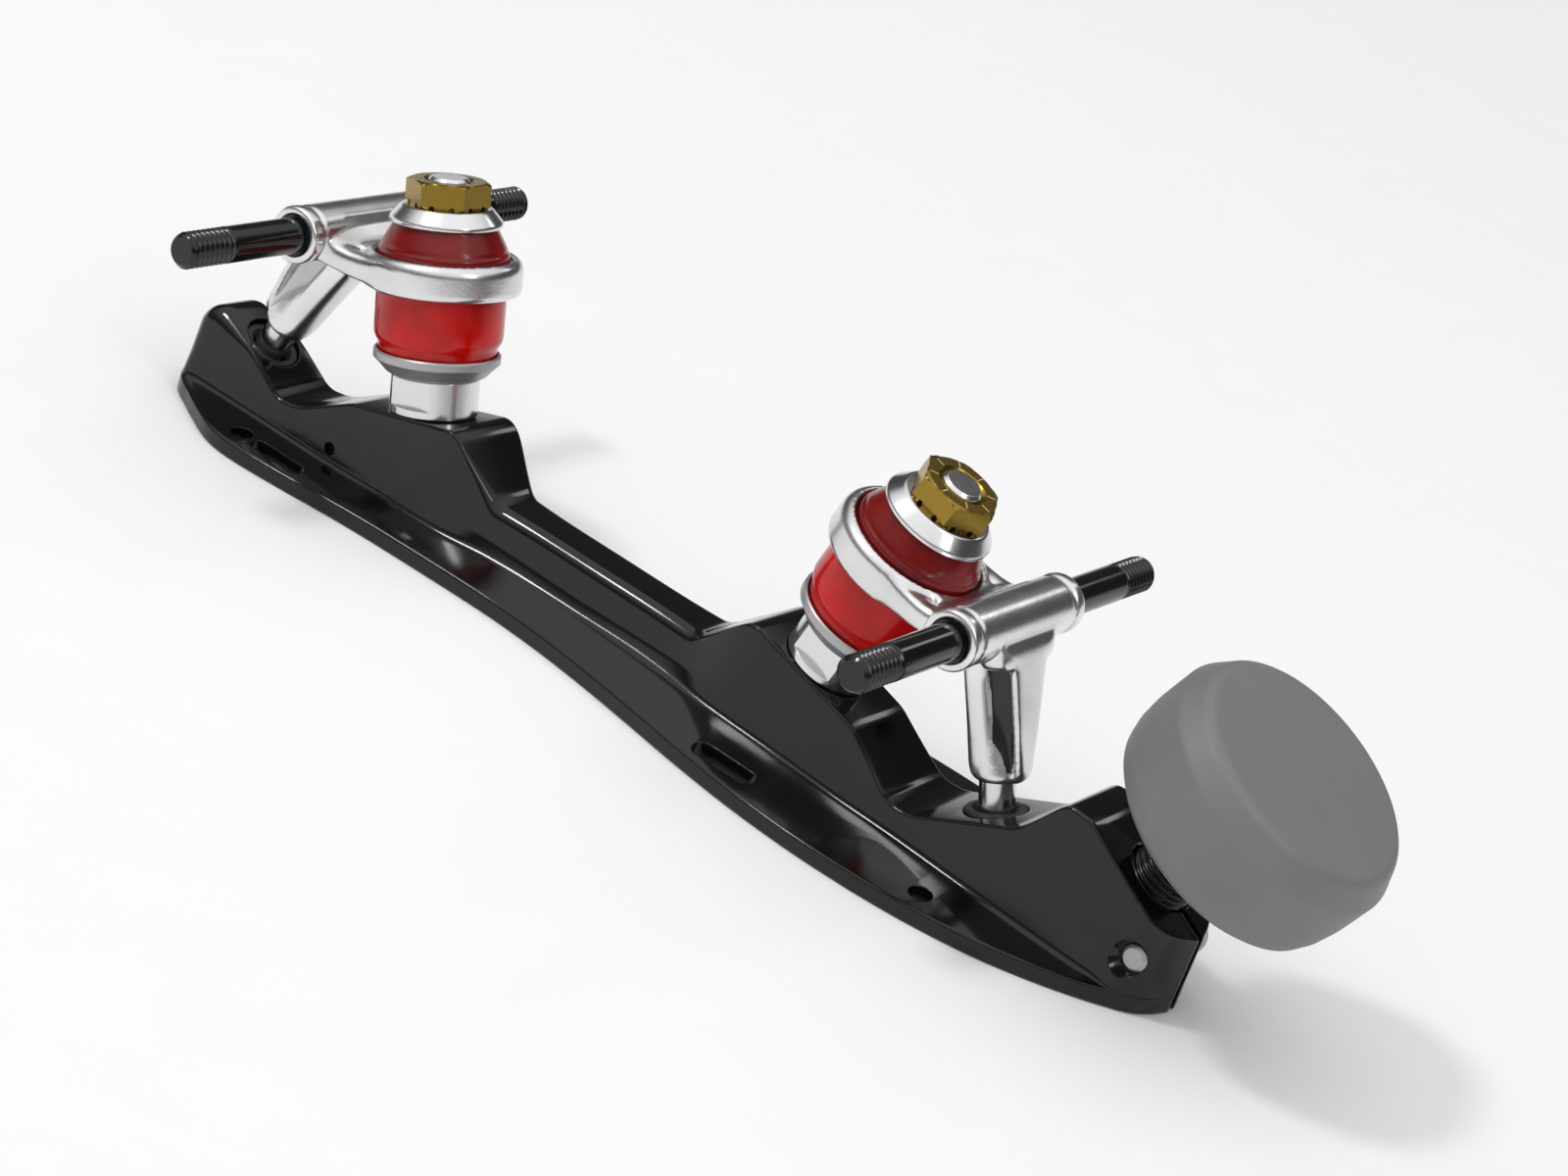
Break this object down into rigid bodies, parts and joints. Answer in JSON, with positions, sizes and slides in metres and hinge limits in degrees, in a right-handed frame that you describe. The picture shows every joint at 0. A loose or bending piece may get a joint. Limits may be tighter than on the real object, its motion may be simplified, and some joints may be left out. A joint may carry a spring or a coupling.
{
  "type": "roller skate plate",
  "caption": "Quad roller skate plate with two sprung trucks, bare wheel axles, red cushions on leaning kingpins and an adjustable toe stop clamped in its nose.",
  "frame": {"origin": "on the boot face, on the centreline, midway between the two axles", "axes": "+X toward the toe stop, +Y to the left of the plate as it lies with its trucks up, +Z away from the boot, so the plate lies on its boot face as in the picture"},
  "size_m": [0.2688, 0.1, 0.0676],
  "materials": {
    "black_anodised": "gloss black anodised",
    "polished_aluminium": "polished",
    "steel": "bright plated",
    "black_steel": "black oxide",
    "gold_nut": "gold anodised",
    "red_cushion": "translucent red urethane",
    "dark_red_cushion": "translucent dark red urethane",
    "black_cup": "matte",
    "grey_rubber": "moulded"
  },
  "bodies": {
    "plate": {"plate": "black_anodised", "front_kingpin": "steel", "front_lower_cup": "steel", "front_lower_cushion": "red_cushion", "front_upper_cushion": "dark_red_cushion", "front_top_cup": "steel", "front_pivot_cup": "black_cup", "rear_kingpin": "steel", "rear_lower_cup": "steel", "rear_lower_cushion": "red_cushion", "rear_upper_cushion": "dark_red_cushion", "rear_top_cup": "steel", "rear_pivot_cup": "black_cup"},
    "front_truck": {"front_hanger": "polished_aluminium", "front_axle": "black_steel", "front_pivot_pin": "steel"},
    "rear_truck": {"rear_hanger": "polished_aluminium", "rear_axle": "black_steel", "rear_pivot_pin": "steel"},
    "front_nut": {"front_kingpin_nut": "gold_nut"},
    "rear_nut": {"rear_kingpin_nut": "gold_nut"},
    "toe_stop": {"toe_stop_pad": "grey_rubber", "toe_stop_stem": "steel"},
    "clamp_screw": {"toe_clamp_screw": "steel"}
  },
  "joints": [
    {"name": "front_steer", "type": "hinge", "parent": "plate", "child": "front_truck", "pos_m": [0.09218, 0, 0.0128], "axis": [-0.6978, 0, 0.7163], "range_deg": [-10, 10], "stiffness_Nm_per_rad": 6, "deforming": ["front_lower_cushion", "front_upper_cushion"]},
    {"name": "rear_steer", "type": "hinge", "parent": "plate", "child": "rear_truck", "pos_m": [-0.09218, 0, 0.0128], "axis": [0.6978, 0, 0.7163], "range_deg": [-10, 10], "stiffness_Nm_per_rad": 6, "deforming": ["rear_lower_cushion", "rear_upper_cushion"]},
    {"name": "front_nut_turn", "type": "hinge", "parent": "plate", "child": "front_nut", "pos_m": [0.06144, 0, 0.06317], "axis": [0.2756, 0, 0.9613], "range_deg": [-180, 180]},
    {"name": "rear_nut_turn", "type": "hinge", "parent": "plate", "child": "rear_nut", "pos_m": [-0.06144, 0, 0.06317], "axis": [-0.2756, 0, 0.9613], "range_deg": [-180, 180]},
    {"name": "toe_stop_height", "type": "slide", "parent": "plate", "child": "toe_stop", "axis": [0.454, 0, 0.891], "range_m": [-0.001, 0.008]},
    {"name": "clamp_screw_turn", "type": "hinge", "parent": "plate", "child": "clamp_screw", "pos_m": [0.12964, 0, 0.00983], "axis": [0, -1, 0], "range_deg": [-90, 180]}
  ]
}
